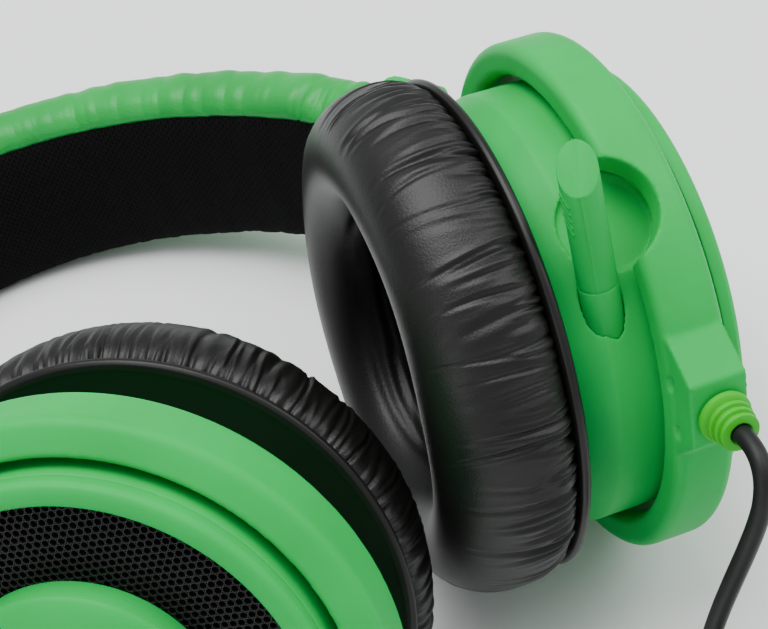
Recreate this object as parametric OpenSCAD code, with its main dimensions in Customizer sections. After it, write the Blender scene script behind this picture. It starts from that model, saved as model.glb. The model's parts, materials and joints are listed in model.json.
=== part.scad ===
// Folding over-ear headset with a pull-out boom microphone, lying on its back.
// Drawn in its own upright frame (X wearer's left, Y crown, Z front) and then laid down.

/* [Lying pose] */
// Pitch that lowers the crown onto the surface
lie_pitch = -11.7; // [-12:0.1:-11.4]
// Roll that brings both cups down together
lie_roll = 4.4; // [4.2:0.1:4.7]
// Height of the upright frame's origin above the surface
lie_lift = 40.8; // [40.6:0.1:41.2]

/* [Headband] */
// Half of the span between the two fold hinges
hinge_x = 77.6; // [76:0.2:80]
// Half width of the band, outside
band_x = 80; // [79:0.5:82]
// Rise of the band above its spring line
band_rise = 105; // [102:1:108]
// Height of the spring line above the fold hinges
band_base = 10; // [9:0.5:11]
// Width of the band, front to back
band_w = 34; // [32:1:36]
// Depth of the band's cover and pad together
band_t = 13; // [12:0.5:14]

/* [Cups] */
// Distance from the fold hinge to the ring's centre
arm = 54; // [53.8:0.1:54.4]
// Outer radius of the yoke ring
ring_r = 46; // [45.8:0.1:46.2]
// Inner radius of the yoke ring
ring_in = 40.4; // [40.2:0.1:40.8]
// Outer radius of the drum
drum_r = 38.8; // [38.6:0.1:39]
// Radius of the black flange, over its bead
flange_r = 44; // [43.5:0.1:44.4]
// Outer radius of the ear cushion
cushion_r = 45.5; // [44:0.5:46]
// Radius of the ear opening
ear_r = 24; // [22:1:26]
// Depth at which the cushion meets the head, measured inboard from the ring
cushion_face = 36; // [32:0.5:36]
// Radius of the domed centre disc
disc_r = 22; // [20:1:24]

/* [Pose at rest] */
// Inward fold of the left cup
fold_left_deg = 23.7; // [22:0.1:24]
// Inward fold of the right cup
fold_right_deg = 38.4; // [37:0.1:39]
// Swivel of the left ring towards the back
swivel_left_deg = -10.3; // [-12:0.1:-8]
// Swivel of the right ring towards the front
swivel_right_deg = 15.4; // [13:0.1:17]

/* [Microphone] */
// Radius of the boom
boom_r = 2.85; // [2.8:0.01:2.86]
// Radius of the microphone head
mic_r = 3.2; // [3.1:0.05:3.3]

/* [Cord] */
// Diameter of the cable
cord_d = 3.2; // [3:0.1:3.4]

/* [Hidden] */
$fn = 96;
green = [0.18, 0.80, 0.32];
relief_green = [0.30, 0.83, 0.25];
black = [0.03, 0.03, 0.03];
steel = [0.70, 0.71, 0.72];

// Moves the laid-down headset so that the origin is under the middle of its box
lie_shift_x = -1.4;
lie_shift_y = -9.3;
// Ring section along the cup's axis: s runs outboard from the ring's inboard edge
ring_back = -1.7;
ring_crest = 10.3;
ring_mid = 4.3;
// Drum section
drum_end = 11.6;
drum_back = -14.4;
drum_wall = 3.6;
chamfer_s = -8;
chamfer_d = 3.4;
seat_r = 29.5;
seat_t = 2.2;
bezel_r = 34.9;
rebate_r = 36.2;
grille_t = 1.2;
disc_top = 20.5;
disc_edge = 16.8;
flange_t = 1.6;
flange_s = -17.4;
bead_r = 1;
baffle_t = 2;
cushion_round = 10;
// Fold hinge and swivel
pin_r = 1.5;
pin_gap = 0.05;
knuckle_w = 22;
fork_half = 18;
fork_top = 14.2;
fork_r = 4.4;
pin_half = 16.5;
stub_r = 3;
boss_top = 50.4;
boss_r = 5;
saddle_top = 49.2;
stub_end = 42.6;
tilt_pin_r = 1.2;
// Adjuster
bar_t = 1.6;
bar_w = 12;
bar_gap = 0.1;
bar_top = 42.5;
bar_in = 0.6;
slide_deg = 8;
housing_low = 15;
housing_top = 62;
band_low = 3;
pad_low = 3.8;
spring_low = 26;
wrap_z = 13.4;
// Microphone axis in the cup's frame, and stations along it
mic_at = [-7, -32.5, 19.9];
mic_lean = -5;
mic_joint = 3.5;
sleeve_back = -6;
mic_tip = 24;
boom_back = -33;
bush_back = -14;
bush_front = -8;
bush_r = 3.6;
notch_deg = 131.5;
notch_r = 9;
notch_s = -4.5;
// Cable block and strain relief
block_s = [-1.4, 8.4];
relief_s = 3.8;
relief_w = 5.3;
relief_face = 50.7;
relief_len = 5.5;
relief_sink = 6;
// Cord: route of the free stretch, then the coil, tie and plug on the surface
cord_r = cord_d / 2;
route = [
  [38, -109, 63.1], [37.2, -111, 63.6], [35.6, -113.9, 63.5], [33.7, -116.1, 61.9], [31.9, -117, 58.6],
  [30.5, -116.6, 54], [28.9, -115.3, 47.5], [27, -113.6, 40], [25, -111.9, 32], [23.2, -110.6, 24],
  [21.9, -110.4, 16], [21.4, -112.3, 9], [21.8, -116.6, 4], [23.1, -122.4, 1.9], [25, -129, 1.6],
  [27, -135.4, 1.6], [28, -141.3, 1.6]
];
tail = [
  [2.6, -162.7, 11.2], [-2.4, -163.3, 10.7], [-7.4, -164.6, 8.6], [-11, -165.7, 5.8], [-13.4, -166.3, 4.5]
];
coil_at = [6.6, -141.3];
coil_mid = 18;
coil_half = 5;
coil_h = 12.9;
plug_at = [-21.4, -166.3];

// ---------- helpers ----------
function arc(c, r, from, to, steps = 6) =
  [for (i = [0:steps]) let (a = from + (to - from) * i / steps) c + r * [cos(a), sin(a)]];
function band_point(deg, depth) =
  [(band_x - depth) * cos(deg), band_base + (band_rise - depth) * sin(deg)];
function unit(v) = v / norm(v);

// Lays the upright frame down on the surface
module lie() {
  translate([lie_shift_x, lie_shift_y, lie_lift]) rotate([lie_pitch, lie_roll, 0]) children();
}

// Draws a left-hand part on the left, or its mirror image on the right
module on_side(side) {
  if (side == "left") lie() children();
  else lie() mirror([1, 0, 0]) children();
}

// Fold frame: origin on the hinge pin, -Y towards the ring, X outboard
module fold_frame(side) {
  fold = side == "left" ? fold_left_deg : fold_right_deg;
  on_side(side) translate([hinge_x, 0, 0]) rotate([0, 0, -fold]) children();
}

// Cup frame: origin at the ring's centre, X outboard, Y towards the hinge, Z front
module cup_frame(side) {
  swivel = side == "left" ? swivel_left_deg : swivel_right_deg;
  fold_frame(side) rotate([0, -swivel, 0]) translate([0, -arm, 0]) children();
}

// Turns a section of [radius, s] points about the cup's axis
module turned(points) {
  rotate([90, 0, 90]) rotate_extrude() polygon(points);
}

// A disc from s0 to s1, centred on the cup's axis
module disc(r, s0, s1) {
  translate([s0, 0, 0]) rotate([0, 90, 0]) cylinder(r = r, h = s1 - s0);
}

// A slice of the headband between two depths, two angles and two widths
module band_slice(depth0, depth1, deg0, width) {
  steps = 36;
  span = 180 - 2 * deg0;
  outer = [for (i = [0:steps]) band_point(deg0 + span * i / steps, depth0)];
  inner = [for (i = [steps:-1:0]) band_point(deg0 + span * i / steps, depth1)];
  translate([0, 0, -width / 2]) linear_extrude(width) polygon(concat(outer, inner));
}

// Microphone frame: Z along the boom towards its head
module mic_frame() {
  translate(mic_at) rotate([0, mic_lean, 0]) children();
}

// A rod on the local Z axis between two stations
module rod(r, z0, z1) {
  translate([0, 0, z0]) cylinder(r = r, h = z1 - z0);
}

// ---------- headband ----------
module spring_band() {
  color(steel) lie() band_slice(4, 4.8, spring_low, 16);
}

module band_cover() {
  slot_w = wrap_z + band_w / 2 + 1;
  color(green) lie() difference() {
    band_slice(0, band_t - 0.6, band_low, band_w);
    translate([0, 0, wrap_z - slot_w / 2]) band_slice(3.2, band_t, band_low - 3, slot_w);
  }
}

module band_pad() {
  pad_w = wrap_z + band_w / 2 - 0.4;
  color(black) lie() translate([0, 0, wrap_z - 0.2 - pad_w / 2]) {
    band_slice(8.6, band_t, pad_low, pad_w);
    band_slice(5, 9, 33, pad_w);
  }
}

// Places a small part on the band's inner side, pointing outwards
module on_housing() {
  for (deg = [8, 24]) for (z = [-8.4, 8.4]) {
    translate([band_point(deg, 8.4)[0], band_point(deg, 8.4)[1], z]) rotate([0, 90, deg]) children();
  }
}

// Frame of the adjuster, Y along its bar
module slide_frame() {
  translate([hinge_x - bar_in, 0, 0]) rotate([0, 0, slide_deg]) children();
}

module housing(side) {
  depth = 21.6;
  color(green) on_side(side) difference() {
    intersection() {
      band_slice(3.4, 8.4, 1, depth);
      translate([50, housing_low, -depth]) cube([40, housing_top - housing_low, 2 * depth]);
    }
    slide_frame() translate([-bar_t / 2 - bar_gap, 8, -bar_w / 2 - bar_gap])
      cube([bar_t + 2 * bar_gap, 40, bar_w + 2 * bar_gap]);
    band_slice(4, 4.8, spring_low, 16);
    on_housing() translate([0, 0, -0.5]) cylinder(r = 0.9, h = 4.2);
  }
}
module housing_left() { housing("left"); }
module housing_right() { housing("right"); }

module housing_screws() {
  color(steel) for (side = ["left", "right"]) on_side(side) on_housing() {
    translate([0, 0, -0.1]) cylinder(r = 0.9, h = 3.8);
  }
}

// ---------- adjuster and fold hinge ----------
module bar() {
  slide_frame() translate([-bar_t / 2, 9, -bar_w / 2]) cube([bar_t, bar_top - 9, bar_w]);
}

module slider(side) {
  color(steel) on_side(side) difference() {
    bar();
    slide_frame() for (y = [18:4:38]) for (z = [-1, 1]) {
      translate([-2, y, z * bar_w / 2]) rotate([0, 90, 0]) cylinder(r = 0.8, h = 4);
    }
  }
}
module slider_left() { slider("left"); }
module slider_right() { slider("right"); }

module fork(side) {
  gap = knuckle_w / 2 + 0.3;
  color(green) on_side(side) difference() {
    translate([hinge_x, 0, 0]) difference() {
      translate([0, 0, -fork_half]) linear_extrude(2 * fork_half) union() {
        circle(r = fork_r);
        polygon([[-fork_r, 0], [-6, 3], [-6, fork_top - 1], [-5, fork_top], [2.9, fork_top],
          [4.1, fork_top - 1.2], [fork_r, 0]]);
      }
      translate([-9, -9, -gap]) cube([18, 9 + 4.2, 2 * gap]);
      translate([0, 0, -2 * fork_half]) cylinder(r = pin_r, h = 4 * fork_half);
    }
    bar();
  }
}
module fork_left() { fork("left"); }
module fork_right() { fork("right"); }

module fold_pin(side) {
  color(steel) on_side(side) translate([hinge_x, 0, -pin_half]) cylinder(r = pin_r, h = 2 * pin_half);
}
module fold_pin_left() { fold_pin("left"); }
module fold_pin_right() { fold_pin("right"); }

module knuckle(side) {
  color(green) fold_frame(side) difference() {
    union() {
      translate([0, 0, -knuckle_w / 2]) cylinder(r = 3.3, h = knuckle_w);
      rotate([90, 0, 0]) cylinder(r = stub_r, h = arm - stub_end);
    }
    translate([0, 0, -knuckle_w]) cylinder(r = pin_r + pin_gap, h = 2 * knuckle_w);
  }
}
module knuckle_left() { knuckle("left"); }
module knuckle_right() { knuckle("right"); }

// ---------- yoke ring ----------
module ring_body() {
  edge = 1.7;
  turned(concat(
    [[ring_in, ring_back + 1], [ring_in + 0.8, ring_back]],
    arc([ring_r - edge, ring_back + edge], edge, -90, 0),
    arc([ring_r - 2, 7], 2, 0, 60),
    [[43.5, 9.4], [41, ring_crest], [ring_in, ring_crest - 0.5]]
  ));
}

module ring_bosses() {
  rotate([-90, 0, 0]) rod(boss_r, 43, boss_top);
  translate([0.3, 0, 0]) rotate([90, 0, 90]) linear_extrude(7.7) polygon([
    [41, -18], [48, -17], [saddle_top, -15.5], [saddle_top, 15.5], [48, 17], [41, 18]
  ]);
}

module ring_bores() {
  rotate([-90, 0, 0]) rod(stub_r + pin_gap, stub_end - 0.2, boss_top + 1);
  for (z = [-1, 1]) scale([1, 1, z]) translate([ring_mid, 0, 0]) rod(tilt_pin_r, 38, 44.6);
}

module cable_block() {
  translate([block_s[0], 0, 0]) rotate([90, 0, 90]) linear_extrude(block_s[1] - block_s[0]) polygon([
    [-39.2, 15.1], [-42.9, 16.5], [-50.3, 11.6], [-50.7, 0.3], [-45.8, -4], [-41.8, -3.7]
  ]);
}

module yoke_ring_left() {
  color(green) cup_frame("left") difference() {
    union() {
      ring_body();
      ring_bosses();
      cable_block();
    }
    ring_bores();
    rotate([notch_deg, 0, 0]) translate([notch_s, 0, 0]) rotate([-90, 0, 0]) rod(notch_r, 35, 50);
    translate([relief_s, 0, relief_w]) rotate([90, 0, 0]) rod(3, relief_face - relief_sink, 60);
    for (p = [[-44, 8.6], [-45.5, 0.3]]) translate([block_s[0] - 1, p[0], p[1]]) {
      scale([1, 0.75, 1.15]) rotate([0, 90, 0]) cylinder(r = 1.1, h = 1.7);
    }
  }
}

module yoke_ring_right() {
  color(green) cup_frame("right") difference() {
    union() {
      ring_body();
      ring_bosses();
    }
    ring_bores();
  }
}

module tilt_pins(side) {
  color(steel) cup_frame(side) for (z = [0, 180]) {
    rotate([z, 0, 0]) translate([ring_mid, 0, 0]) rod(tilt_pin_r, 35.6, 44.6);
  }
}
module tilt_pins_left() { tilt_pins("left"); }
module tilt_pins_right() { tilt_pins("right"); }

// ---------- drum and what it carries ----------
module drum_body() {
  inner = drum_r - drum_wall;
  turned([
    [inner, drum_end], [drum_r, drum_end], [drum_r, chamfer_s], [drum_r - chamfer_d, drum_back],
    [seat_r, drum_back], [seat_r, drum_back + seat_t], [33.4, drum_back + seat_t], [inner, chamfer_s - 0.6]
  ]);
}

module drum_bores() {
  for (z = [0, 180]) rotate([z, 0, 0]) translate([ring_mid, 0, 0]) rod(tilt_pin_r + pin_gap, 30, 42);
  for (a = [45:90:315]) rotate([a, 0, 0]) translate([drum_back, 0, 31.5]) rotate([0, 90, 0]) rod(0.9, 0.6, 4);
}

module drum_left() {
  color(green) cup_frame("left") difference() {
    drum_body();
    drum_bores();
    rotate([notch_deg, 0, 0]) translate([-2, 0, 0]) rotate([-90, 0, 0]) rod(8, 37, 50);
    mic_frame() rod(3, boom_back - 1.5, sleeve_back);
    mic_frame() rod(mic_r + 0.1, sleeve_back - 0.5, 20);
    mic_frame() rod(bush_r, bush_back, bush_front);
  }
}

module drum_right() {
  color(green) cup_frame("right") difference() {
    drum_body();
    drum_bores();
  }
}

module bezel(side) {
  color(green) cup_frame(side) turned([
    [bezel_r, drum_end + grille_t], [rebate_r, drum_end + grille_t], [rebate_r, drum_end],
    [drum_r, drum_end], [drum_r, 13.4], [37.8, 14.6], [35.6, 14.6], [bezel_r, 14.1]
  ]);
}
module bezel_left() { bezel("left"); }
module bezel_right() { bezel("right"); }

module grille(side) {
  color(black) cup_frame(side) disc(rebate_r, drum_end, drum_end + grille_t);
}
module grille_left() { grille("left"); }
module grille_right() { grille("right"); }

module centre_disc(side) {
  dome = disc_top - disc_edge;
  dome_r = (disc_r * disc_r + dome * dome) / (2 * dome);
  half = asin(disc_r / dome_r);
  color(green) cup_frame(side) turned(concat(
    [[0, drum_end + grille_t], [disc_r, drum_end + grille_t]],
    arc([0, disc_top - dome_r], dome_r, 90 - half, 90, 10)
  ));
}
module centre_disc_left() { centre_disc("left"); }
module centre_disc_right() { centre_disc("right"); }

module flange(side) {
  bead = flange_r - bead_r;
  color(black) cup_frame(side) turned(concat(
    [[27, flange_s], [bead, flange_s]],
    arc([bead, flange_s + 1.1], bead_r + 0.1, -90, 90, 10),
    [[bead - 1, flange_s + flange_t], [35, flange_s + flange_t], [35, drum_back], [27, drum_back]]
  ));
}
module flange_left() { flange("left"); }
module flange_right() { flange("right"); }

module cushion(side) {
  lip = 7;
  color(black) cup_frame(side) turned(concat(
    arc([ear_r + lip, lip - cushion_face], lip, 180, 270),
    arc([cushion_r - cushion_round, cushion_round - cushion_face], cushion_round, 270, 360),
    [[cushion_r, flange_s - 3], [cushion_r - 2, flange_s], [ear_r, flange_s]]
  ));
}
module cushion_left() { cushion("left"); }
module cushion_right() { cushion("right"); }

module baffle(side) {
  back = drum_back + seat_t;
  color(black) cup_frame(side) difference() {
    disc(33.2, back, back + baffle_t);
    disc(16, back - 1, back + baffle_t + 1);
    for (a = [0:45:315]) rotate([a + 22.5, 0, 0]) translate([0, 0, 25]) disc(2.5, back - 1, back + 4);
    for (a = [45:90:315]) rotate([a, 0, 0]) translate([0, 0, 31.5]) disc(0.9, back - 1, back + 4);
  }
}
module baffle_left() { baffle("left"); }
module baffle_right() { baffle("right"); }

module baffle_screws(side) {
  back = drum_back + seat_t;
  color(steel) cup_frame(side) for (a = [45:90:315]) rotate([a, 0, 0]) translate([0, 0, 31.5]) {
    disc(0.9, drum_back + 0.6, back + baffle_t);
    disc(1.7, back + baffle_t, back + baffle_t + 1.2);
  }
}
module baffle_screws_left() { baffle_screws("left"); }
module baffle_screws_right() { baffle_screws("right"); }

module basket(side) {
  face = drum_back + seat_t + baffle_t;
  color(steel) cup_frame(side) turned([
    [16.2, face], [20, face], [20, face + 1.2], [16, face + 1.2], [12, face + 4.6],
    [8.6, face + 4.6], [8.6, face + 3.6], [11.4, face + 3.6], [15, face + 0.6]
  ]);
}
module basket_left() { basket("left"); }
module basket_right() { basket("right"); }

module magnet(side) {
  face = drum_back + seat_t + baffle_t;
  color(steel) cup_frame(side) disc(8.6, face + 2.4, face + 7);
}
module magnet_left() { magnet("left"); }
module magnet_right() { magnet("right"); }

module diaphragm(side) {
  face = drum_back + seat_t + baffle_t;
  color([0.75, 0.72, 0.62]) cup_frame(side) turned([
    [0, face + 1.6], [6, face + 1.2], [7, face + 0.2], [11, face - 0.5], [15.9, face - 0.3],
    [15.9, face - 0.6], [11, face - 0.8], [6.8, face - 0.1], [5.6, face + 0.9], [0, face + 1.3]
  ]);
}
module diaphragm_left() { diaphragm("left"); }
module diaphragm_right() { diaphragm("right"); }

module ear_cloth(side) {
  color(black) cup_frame(side) disc(seat_r - 0.1, drum_back + 0.9, drum_back + 1.4);
}
module ear_cloth_left() { ear_cloth("left"); }
module ear_cloth_right() { ear_cloth("right"); }

module circuit_board() {
  face = drum_back + seat_t + baffle_t + 7;
  color([0.05, 0.30, 0.15]) cup_frame("left") translate([face, -9, -14]) cube([1.6, 18, 28]);
}

// ---------- microphone ----------
module mic_head() {
  color(green) cup_frame("left") mic_frame() difference() {
    rod(mic_r, mic_joint, mic_tip + 6);
    translate([0, 0, mic_tip]) rotate([40, -24, 0]) translate([-20, -20, 0]) cube([40, 40, 20]);
    rod(2.1, mic_joint - 1, 16);
  }
}

module mic_boom() {
  color(green) cup_frame("left") mic_frame() difference() {
    union() {
      rod(boom_r, boom_back, sleeve_back);
      rod(mic_r, sleeve_back, mic_joint);
    }
    rod(1, boom_back - 1, mic_joint + 1);
    difference() {
      rod(boom_r + 1, boom_back - 0.1, boom_back + 1.5);
      rod(2.3, boom_back - 1, boom_back + 2);
    }
  }
}

module mic_capsule() {
  color(steel) cup_frame("left") mic_frame() rod(2.1, 13, 16);
}

module mic_bush() {
  color(black) cup_frame("left") mic_frame() difference() {
    rod(bush_r, bush_back, bush_front);
    rod(boom_r + pin_gap, bush_back - 1, bush_front + 1);
  }
}

module mic_stop() {
  color(black) cup_frame("left") mic_frame() difference() {
    rod(2.85, boom_back, boom_back + 1.5);
    rod(2.3, boom_back - 1, boom_back + 2);
  }
}

// ---------- cable ----------
module strain_relief() {
  color(relief_green) cup_frame("left") translate([relief_s, -relief_face, relief_w]) rotate([90, 0, 0])
    difference() {
      union() {
        rod(2.95, 0.2 - relief_sink, 0);
        for (i = [0:3]) {
          z = i * relief_len / 4;
          rod(4 - 0.25 * i, z, z + 1.5);
          rod(3.5 - 0.25 * i, z + 1.5, z + relief_len / 4);
        }
      }
      rod(cord_r, -relief_sink, relief_len + 1);
    }
}

// Catmull-Rom point on leg i of a route, at t from 0 to 1
function spline(p, i, t) =
  let (a = p[max(i - 1, 0)], b = p[i], c = p[i + 1], d = p[min(i + 2, len(p) - 1)])
  0.5 * (2 * b + (c - a) * t + (2 * a - 5 * b + 4 * c - d) * t * t + (3 * b - a - 3 * c + d) * t * t * t);

module cord_tube(points) {
  sides = 8;
  legs = len(points) - 1;
  path = concat([for (i = [0:legs - 1]) for (k = [0:1]) spline(points, i, k / 2)], [points[legs]]);
  last = len(path) - 1;
  dirs = [for (i = [0:last]) unit(path[min(i + 1, last)] - path[max(i - 1, 0)])];
  rings = [for (i = [0:last]) let (u = unit(cross(dirs[i], [1, 0.2, 0])), v = cross(dirs[i], u))
    for (k = [0:sides - 1]) path[i] + cord_r * (cos(360 * k / sides) * u + sin(360 * k / sides) * v)];
  walls = [for (i = [0:last - 1]) for (k = [0:sides - 1]) let (n = (k + 1) % sides)
    let (a = i * sides, b = a + sides) each [[a + k, a + n, b + n], [a + k, b + n, b + k]]];
  near = [for (k = [sides - 1:-1:0]) k];
  far = [for (k = [0:sides - 1]) last * sides + k];
  color(black) polyhedron(rings, concat([near], walls, [far]));
}

module cable() { cord_tube(route); }
module cable_tail() { cord_tube(tail); }

module cable_coil() {
  color(black) translate([coil_at[0], coil_at[1], 0]) rotate_extrude()
    translate([coil_mid - coil_half, 0]) square([2 * coil_half, coil_h]);
}

module cable_tie() {
  color(black) translate([coil_at[0], coil_at[1] - coil_mid, 0]) difference() {
    translate([-3, -coil_half - 1.2, 0]) cube([6, 2 * coil_half + 2.4, coil_h + 1.2]);
    translate([-4, -coil_half, -1]) cube([8, 2 * coil_half, coil_h + 1]);
  }
}

module plug_body() {
  color(black) translate([plug_at[0], plug_at[1], 4.5]) rotate([0, -90, 0]) {
    rod(4.5, 0, 17);
    rod(2.8, -8, 0);
  }
}

module plug_contact() {
  color([0.83, 0.68, 0.35]) translate([plug_at[0], plug_at[1], 4.5]) rotate([0, -90, 0]) {
    rod(1.75, 17, 29.4);
    translate([0, 0, 29.4]) cylinder(r1 = 1.75, r2 = 0.7, h = 1.6);
  }
}

spring_band();
band_cover();
band_pad();
housing_left();
housing_right();
housing_screws();
slider_left();
slider_right();
fork_left();
fork_right();
fold_pin_left();
fold_pin_right();
knuckle_left();
knuckle_right();
yoke_ring_left();
yoke_ring_right();
tilt_pins_left();
tilt_pins_right();
drum_left();
drum_right();
bezel_left();
bezel_right();
grille_left();
grille_right();
centre_disc_left();
centre_disc_right();
flange_left();
flange_right();
cushion_left();
cushion_right();
baffle_left();
baffle_right();
baffle_screws_left();
baffle_screws_right();
basket_left();
basket_right();
magnet_left();
magnet_right();
diaphragm_left();
diaphragm_right();
ear_cloth_left();
ear_cloth_right();
circuit_board();
mic_head();
mic_boom();
mic_capsule();
mic_bush();
mic_stop();
strain_relief();
cable();
cable_coil();
cable_tail();
cable_tie();
plug_body();
plug_contact();
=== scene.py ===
"""Finish of a folding over-ear headset with a pull-out microphone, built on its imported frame."""

import json
import logging
import math
import random
from dataclasses import dataclass, field
from enum import Enum
from typing import Callable, Sequence

import bpy
import numpy as np
from mathutils import Matrix, Vector

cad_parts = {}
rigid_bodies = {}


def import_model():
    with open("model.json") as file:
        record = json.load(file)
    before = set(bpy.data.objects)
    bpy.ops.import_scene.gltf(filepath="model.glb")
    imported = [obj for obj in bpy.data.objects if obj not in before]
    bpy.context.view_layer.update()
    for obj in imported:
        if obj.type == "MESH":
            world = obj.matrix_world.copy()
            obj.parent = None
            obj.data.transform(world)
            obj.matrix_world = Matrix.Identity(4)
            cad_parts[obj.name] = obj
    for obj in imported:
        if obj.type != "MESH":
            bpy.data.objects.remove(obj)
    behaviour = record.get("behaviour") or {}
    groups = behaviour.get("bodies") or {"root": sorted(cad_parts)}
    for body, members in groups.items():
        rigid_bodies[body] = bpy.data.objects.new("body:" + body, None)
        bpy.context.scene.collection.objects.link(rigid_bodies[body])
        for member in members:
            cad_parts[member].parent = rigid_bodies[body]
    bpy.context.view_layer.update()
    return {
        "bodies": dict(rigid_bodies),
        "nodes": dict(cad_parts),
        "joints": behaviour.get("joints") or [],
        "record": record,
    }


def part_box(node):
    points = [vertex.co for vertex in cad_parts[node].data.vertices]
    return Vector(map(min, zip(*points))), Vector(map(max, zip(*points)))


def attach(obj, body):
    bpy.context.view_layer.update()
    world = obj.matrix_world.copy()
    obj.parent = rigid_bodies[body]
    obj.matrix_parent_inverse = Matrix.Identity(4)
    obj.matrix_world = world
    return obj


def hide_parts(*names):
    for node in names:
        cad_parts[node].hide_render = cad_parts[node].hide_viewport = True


LOG = logging.getLogger("headset")
MM = 0.001
TAU = 2 * math.pi
ARCH = (3.0, 177.0)  # first and last angle of the headband, in degrees
PITCH = 1.45  # of the spacer mesh's holes, in millimetres
ARCH_RADIUS = 90.0  # mean radius of the headband, which scales its cloth's map
LEG_CUTS = 12  # points for each leg of a smooth section
Pair = tuple[float, float]
Triple = tuple[float, float, float]


class Side(Enum):
    """The wearer's side that a piece is on."""

    LEFT = "left"
    RIGHT = "right"


# ---------------------------------------------------------------- node helpers
class Graph:
    """Adds nodes to one tree and links them."""

    def __init__(self, tree: bpy.types.NodeTree) -> None:
        """Keeps the tree.

        Args:
            tree: The node tree to add to.
        """
        self.tree = tree

    def add(self, kind: str, inputs: dict | None = None, **settings: object) -> bpy.types.Node:
        """Adds a node.

        Args:
            kind: Its type name without the ShaderNode prefix.
            inputs: Socket name or number to a value or to a socket that feeds it.
            settings: Properties of the node.

        Returns:
            The new node.
        """
        node = self.tree.nodes.new(kind if kind.startswith("NodeGroup") else "ShaderNode" + kind)
        for name, value in settings.items():
            setattr(node, name, value)
        for name, value in (inputs or {}).items():
            if isinstance(value, bpy.types.NodeSocket):
                self.tree.links.new(value, node.inputs[name])
            else:
                node.inputs[name].default_value = value
        return node

    def math(
        self, operation: str, first: object, second: object = 0.0, third: object = 0.0
    ) -> bpy.types.NodeSocket:
        """Adds a math node.

        Args:
            operation: Its operation.
            first: First number or socket.
            second: Second number or socket.
            third: Third number or socket.

        Returns:
            Its output socket.
        """
        node = self.add("Math", {0: first, 1: second, 2: third}, operation=operation)
        return node.outputs[0]

    def ramp(self, source: bpy.types.NodeSocket, stops: Sequence[tuple[float, Triple]]) -> bpy.types.NodeSocket:
        """Adds a colour ramp.

        Args:
            source: The factor.
            stops: Places and colours.

        Returns:
            Its colour socket.
        """
        node = self.add("ValToRGB", {0: source})
        ramp = node.color_ramp
        while len(ramp.elements) < len(stops):
            ramp.elements.new(0.5)
        for element, (place, colour) in zip(ramp.elements, stops):
            element.position = place
            element.color = (*colour, 1.0)
        return node.outputs[0]


def group_graph(
    name: str, inputs: dict[str, float], outputs: dict[str, str]
) -> tuple[Graph, bpy.types.Node, bpy.types.Node]:
    """Starts a shader node group.

    Args:
        name: The group's name.
        inputs: Number inputs and their defaults.
        outputs: Output names and socket types.

    Returns:
        The group's graph, its input node and its output node.
    """
    tree = bpy.data.node_groups.new(name, "ShaderNodeTree")
    for label, value in inputs.items():
        socket = tree.interface.new_socket(label, in_out="INPUT", socket_type="NodeSocketFloat")
        socket.default_value = value
    for label, kind in outputs.items():
        tree.interface.new_socket(label, in_out="OUTPUT", socket_type=kind)
    graph = Graph(tree)
    return graph, graph.add("NodeGroupInput"), graph.add("NodeGroupOutput")


def moulded_group() -> bpy.types.NodeTree:
    """Fine spark texture and slow waviness of moulded plastic.

    Returns:
        The group.
    """
    graph, start, end = group_graph(
        "Moulded Grain", {"Scale": 2500.0}, {"Height": "NodeSocketFloat", "Patches": "NodeSocketFloat"}
    )
    place = graph.add("TexCoord").outputs["Object"]
    fine = graph.add(
        "TexNoise", {"Vector": place, "Scale": start.outputs["Scale"], "Detail": 2.0, "Roughness": 0.6}
    )
    slow = graph.add("TexNoise", {"Vector": place, "Scale": 55.0, "Detail": 2.0})
    graph.tree.links.new(fine.outputs["Fac"], end.inputs["Height"])
    graph.tree.links.new(slow.outputs["Fac"], end.inputs["Patches"])
    return graph.tree


def leather_group() -> bpy.types.NodeTree:
    """Pebble grain and fine hair creases of coated leatherette.

    Returns:
        The group.
    """
    graph, start, end = group_graph(
        "Leatherette Grain", {"Scale": 1500.0}, {"Height": "NodeSocketFloat", "Patches": "NodeSocketFloat"}
    )
    place = graph.add("TexCoord").outputs["Object"]
    warp = graph.add("TexNoise", {"Vector": place, "Scale": 600.0, "Detail": 1.0})
    push = graph.add("VectorMath", {0: warp.outputs["Color"], 1: (0.0005, 0.0005, 0.0005)}, operation="MULTIPLY")
    moved = graph.add("VectorMath", {0: place, 1: push.outputs[0]}, operation="ADD")
    cells = graph.add(
        "TexVoronoi",
        {"Vector": moved.outputs[0], "Scale": start.outputs["Scale"], "Randomness": 1.0},
        feature="DISTANCE_TO_EDGE",
    )
    pebble = graph.add(
        "MapRange",
        {0: cells.outputs["Distance"], 1: 0.0, 2: 0.22, 3: 0.0, 4: 1.0},
        interpolation_type="SMOOTHSTEP",
    )
    hair = graph.add("TexNoise", {"Vector": place, "Scale": 900.0, "Detail": 4.0, "Roughness": 0.7})
    height = graph.math("MULTIPLY_ADD", hair.outputs["Fac"], 0.6, pebble.outputs[0])
    slow = graph.add("TexNoise", {"Vector": place, "Scale": 70.0, "Detail": 3.0})
    graph.tree.links.new(height, end.inputs["Height"])
    graph.tree.links.new(slow.outputs["Fac"], end.inputs["Patches"])
    return graph.tree


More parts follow.
